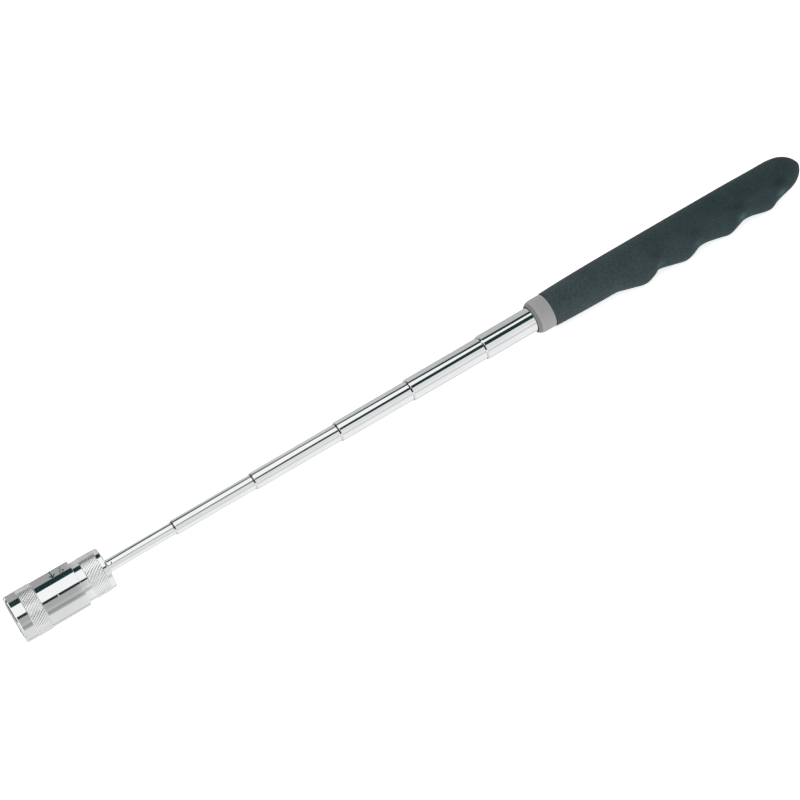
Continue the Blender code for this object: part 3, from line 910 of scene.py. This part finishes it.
def make_grip():
    """The skin is lofted through rings, and a round blind bore takes the core."""
    stations = [GRIP_FRONT + 0.12, GRIP_FRONT + 0.35]
    stations += fine_steps(GRIP_FRONT + 1.0, GRIP_ROUNDING_START, 1.6, [(283.0, 366.0, 0.7)])
    tip_steps = 22
    for i in range(tip_steps):
        share = sin((pi / 2) * i / tip_steps)
        stations.append(GRIP_ROUNDING_START + (GRIP_TIP - GRIP_ROUNDING_START) * share)
    vertices = []
    faces = []
    rows = []

    def add_row(x, distance):
        rows.append(list(range(len(vertices), len(vertices) + GRIP_SIDES)))
        for i in range(GRIP_SIDES):
            angle = tau * i / GRIP_SIDES
            from_ridge = angle if angle <= pi else angle - tau
            reach = distance(from_ridge)
            turn = angle + radians(FLAT_ANGLE)
            vertices.append((x * MM, -reach * sin(turn) * MM, -reach * cos(turn) * MM))

    for x, radius in ((GRIP_BORE_END, GRIP_BORE_R), (GRIP_FRONT + 0.1, GRIP_BORE_R)):
        add_row(x, lambda angle, r=radius: r)
    add_row(GRIP_FRONT, lambda angle: grip_radius(GRIP_FRONT) - 0.25)
    for x in stations:
        inset = 0.06 if x == stations[0] else 0.0
        radius, ridge = grip_radius(x), ridge_height(x)

        def skin(angle):
            return grip_section_radius(angle, radius, ridge) - inset - scoop(x, angle)

        add_row(x, skin)
    for here, there in zip(rows, rows[1:]):
        for i in range(GRIP_SIDES):
            j = (i + 1) % GRIP_SIDES
            faces.append((here[i], here[j], there[j], there[i]))
    tip = len(vertices)
    vertices.append((GRIP_TIP * MM, 0.0, 0.0))
    for i in range(GRIP_SIDES):
        faces.append((rows[-1][i], rows[-1][(i + 1) % GRIP_SIDES], tip))
    faces.append(tuple(rows[0]))
    grip = mesh_object("grip_skin", vertices, faces, 50.0)
    # Painted shade above each hollow beside the valleys, and a painted highlight below it.
    paint_shade(grip, lambda x, turn: valley_painted_shade_and_highlight(x, turn + radians(90 - FLAT_ANGLE)))
    dress(grip, "grip_rubber", "handle", "grip")


# ---------------------------------------------------------------- inner CAD nodes


def dress_inner_nodes():
    """Materials of the CAD nodes that stay: they keep their shape and get new materials."""
    inner = {
        "battery_liner": "liner",
        "board_contact": "brass",
        "cell_1": "cell_nickel",
        "cell_2": "cell_nickel",
        "cell_3": "cell_nickel",
        "contact_spring": "steel",
        "head_pin": "steel",
        "led_board": "board",
        "o_ring": "nitrile",
        "tube_plug": "brass",
    }
    for number in range(2, 7):
        inner[f"slip_spring_{number}"] = "bronze"
    for name, look in inner.items():
        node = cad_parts[name]
        for place in node.material_slots:
            place.material = looks[look]


# ---------------------------------------------------------------- studio


def make_floor():
    """A pale floor that touches the head's knurl and the flat of the grip."""
    head_x, head_r = 9.0 * MM, 10.3 * MM
    grip_x = GRIP_TAPER_START * MM
    slope = (head_r - GRIP_R * MM) / (grip_x - head_x)
    steps = 24
    vertices = []
    for i in range(steps + 1):
        for j in range(steps + 1):
            x = FLOOR_SIZE * (i / steps - 0.5)
            y = FLOOR_SIZE * (j / steps - 0.5)
            vertices.append((x, y, -head_r + slope * (x - head_x)))
    faces = []
    for i in range(steps):
        for j in range(steps):
            a = i * (steps + 1) + j
            faces.append((a, a + steps + 1, a + steps + 2, a + 1))
    mesh = bpy.data.meshes.new("floor")
    mesh.from_pydata(vertices, [], faces)
    floor = bpy.data.objects.new("floor", mesh)
    bpy.context.scene.collection.objects.link(floor)
    material, tree, shader = material_tree("floor_paper")
    shader.inputs["Specular IOR Level"].default_value = 0.0
    shader.inputs["Roughness"].default_value = 1.0
    paper = noise(tree, 40.0, 3.0)
    colour = mix(tree, spread(tree, paper, 0, 1), (0.93, 0.93, 0.93), (0.945, 0.945, 0.945))
    tree.links.new(colour, shader.inputs["Base Color"])
    shader.inputs["Emission Color"].default_value = (1.0, 1.0, 1.0, 1.0)
    shader.inputs["Emission Strength"].default_value = FLOOR_GLOW
    mesh.materials.append(material)
    floor.visible_glossy = False


def linear(level):
    """Linear light of a display level from 0 to 255."""
    level /= 255
    return level / 12.92 if level <= 0.04045 else ((level + 0.055) / 1.055) ** 2.4


# Cards round the tool. At each distance along the tent: where the lower black card starts and
# ends, where the white softbox ends, where the upper black card ends, and the levels of the
# side below the lower card, of the ground on that side, and of the far side.
CARDS = (
    (0.118, 65.0, 77.5, 128.0, 158.0, 168.0, 219.0, 158.0),
    (0.128, 67.0, 76.0, 129.0, 156.0, 214.0, 238.0, 196.0),
    (0.20, 73.0, 80.0, 144.0, 172.0, 222.0, 238.0, 200.0),
    (0.39, 75.0, 94.0, 145.0, 160.0, 222.0, 238.0, 200.0),
    (0.65, 73.0, 104.0, 122.0, 144.0, 224.0, 237.0, 184.0),
)
BLACK_CARD = (30.0, 50.0, 51.0)
SOFTBOX = 245.0
# In front of the head the tent has a white gap with a stripe on each side, more cards, a black
# end with a white window in it, and a black wall. Angles are as in the cards, and a stripe has
# its two angles and its level.
WHITE_FROM = 0.03
WHITE_TO = -0.12
GAP_STRIPES = ((-38.0, -22.0, 190.0), (168.0, 188.0, 0.0))
BLACK_FROM = -0.5
BLACK_ALL_FROM = -1.0
BLACK_END = (30.0, 205.0)
WHITE_WINDOW = (80.0, 135.0)
WHITE_FRONT = (5.0, 220.0)


def card_places(x):
    """The cards' angles and levels at a distance along the tent."""
    x = min(CARDS[-1][0], max(CARDS[0][0], x))
    for low, high in zip(CARDS, CARDS[1:]):
        if x <= high[0]:
            share = (x - low[0]) / (high[0] - low[0])
            return [a + (b - a) * share for a, b in zip(low[1:], high[1:])]


def card_light(level):
    """Linear light of a card, from its display level. A card of level 0 is a tinted black."""
    return [linear(channel) for channel in (BLACK_CARD if level == 0.0 else (level,) * 3)]


def front_level(x, angle, ground):
    """Level of the white gap or the black end in front of the head."""
    if x < BLACK_FROM:
        window = x > BLACK_ALL_FROM and WHITE_WINDOW[0] < angle < WHITE_WINDOW[1]
        if BLACK_END[0] < angle < BLACK_END[1] and not window:
            return 0.0
    else:
        for start, end, level in GAP_STRIPES:
            if start < angle < end:
                return level
    return SOFTBOX if WHITE_FRONT[0] < angle < WHITE_FRONT[1] else ground


def tent_colour(x, angle):
    """Light of the tent in a direction, in degrees from -Y through +Z, from -90 to 270."""
    start, end, white, upper, side, ground, far = card_places(x)
    if WHITE_TO < x < WHITE_FROM or x < BLACK_FROM:
        return card_light(front_level(x, angle, ground))
    lower_edge, upper_edge = 160.0, 100.0
    # Each band has the angle where it ends, its level, and how wide the change after it is.
    bands = (
        (-67.0, ground, 2.0),
        (-60.0, lower_edge, 2.0),
        (7.0, ground, 4.0),
        (15.0, side, 6.0),
        (27.0, side - 20, 3.0),
        (40.0, side + 10, 8.0),
        (start, side - 2, 2.0),
        (end, 0.0, 1.2),
        (white, SOFTBOX, 1.2),
        (upper, 0.0, 1.2),
        (226.0, far, 2.0),
        (234.0, upper_edge, 2.0),
        (250.0, far, 20.0),
        (400.0, ground, 1.0),
    )
    colour = None
    for i, (_, level, _) in enumerate(bands):
        here = card_light(level)
        if colour is None:
            colour = here
        else:
            before, _, softness = bands[i - 1]
            share = smooth_step((angle - before) / softness + 0.5)
            colour = [a + (b - a) * share for a, b in zip(colour, here)]
    return colour


def make_tent():
    """A light tent round the tool that only mirrors see: a softbox between two black cards."""
    turns = 720
    chrome_reflects = 0.9
    stations = [TENT_ENDS[0], BLACK_ALL_FROM - 0.01, BLACK_ALL_FROM + 0.01]
    for edge in (BLACK_FROM, WHITE_TO, WHITE_FROM):
        stations += [edge - 0.001, edge + 0.001]
    stations += fine_steps(CARDS[0][0], CARDS[-1][0], 0.01, [(CARDS[0][0], CARDS[1][0], 0.001)])
    stations.append(TENT_ENDS[1])
    x_steps = len(stations) - 1
    vertices = []
    colours = []
    for i in range(x_steps + 1):
        x = stations[i]
        for j in range(turns):
            angle = 360.0 * j / turns - 90.0
            vertices.append((x, -TENT_R * cos(radians(angle)), TENT_R * sin(radians(angle))))
            colours.append([channel / chrome_reflects for channel in tent_colour(x, angle)] + [1.0])
    faces = []
    for i in range(x_steps):
        for j in range(turns):
            k = (j + 1) % turns
            faces.append((i * turns + j, i * turns + k, (i + 1) * turns + k, (i + 1) * turns + j))
    mesh = bpy.data.meshes.new("tent")
    mesh.from_pydata(vertices, [], faces)
    paint = mesh.color_attributes.new("cards", "FLOAT_COLOR", "POINT")
    paint.data.foreach_set("color", [channel for colour in colours for channel in colour])
    tent = bpy.data.objects.new("tent", mesh)
    bpy.context.scene.collection.objects.link(tent)
    material = bpy.data.materials.new("tent_cards")
    material.use_nodes = True
    tree = material.node_tree
    tree.nodes.clear()
    out = add_node(tree, "ShaderNodeOutputMaterial")
    glow = add_node(tree, "ShaderNodeEmission")
    cards = add_node(tree, "ShaderNodeVertexColor", {"layer_name": "cards"})
    tree.links.new(cards.outputs["Color"], glow.inputs["Color"])
    tree.links.new(glow.outputs["Emission"], out.inputs["Surface"])
    material.cycles.emission_sampling = "NONE"
    mesh.materials.append(material)
    tent.visible_camera = False
    tent.visible_diffuse = False
    tent.visible_shadow = False
    tent.visible_transmission = False
    tent.visible_volume_scatter = False


def add_softbox(name, place, size, power):
    """An area light that lights dull surfaces only and points at the tool's middle."""
    light = bpy.data.lights.new(name, "AREA")
    light.shape = "RECTANGLE"
    light.size, light.size_y = size
    light.energy = power
    lamp = bpy.data.objects.new(name, light)
    lamp.location = place
    aim = Vector(TOOL_MIDDLE) - lamp.location
    lamp.rotation_euler = aim.to_track_quat("-Z", "Y").to_euler()
    lamp.visible_camera = False
    lamp.visible_glossy = False
    bpy.context.scene.collection.objects.link(lamp)


def make_lights():
    add_softbox("overhead", (-0.6, -0.1, 1.5), (1.8, 1.4), 12.5)
    add_softbox("near_side", (0.0, -1.3, 0.55), (2.4, 0.9), 11.0)
    add_softbox("far_side", (0.0, 1.3, 0.55), (2.4, 0.9), 11.0)
    world = bpy.data.worlds.new("studio")
    world.use_nodes = True
    background = world.node_tree.nodes["Background"]
    background.inputs["Color"].default_value = (1.0, 1.0, 1.0, 1.0)
    background.inputs["Strength"].default_value = WORLD_LIGHT
    bpy.context.scene.world = world


def make_camera():
    height = radians(CAMERA_HEIGHT)
    camera = bpy.data.objects.new("camera", bpy.data.cameras.new("camera"))
    camera.data.lens = CAMERA_LENS
    camera.data.clip_start = 0.01
    camera.location = (CAMERA_X, -CAMERA_DISTANCE * cos(height), CAMERA_DISTANCE * sin(height))
    aim = Vector(CAMERA_AIM) - camera.location
    camera.rotation_euler = aim.to_track_quat("-Z", "Y").to_euler()
    bpy.context.scene.collection.objects.link(camera)
    bpy.context.scene.camera = camera


looks = make_looks()
make_front_bezel()
make_battery_sleeve()
make_rear_cap()
make_magnet()
make_led_holder()
make_leds()
for tube_number in TUBES:
    make_tube(tube_number)
make_collar()
make_grip()
dress_inner_nodes()
make_floor()
make_tent()
make_lights()
make_camera()
bpy.context.scene.view_settings.view_transform = "Standard"
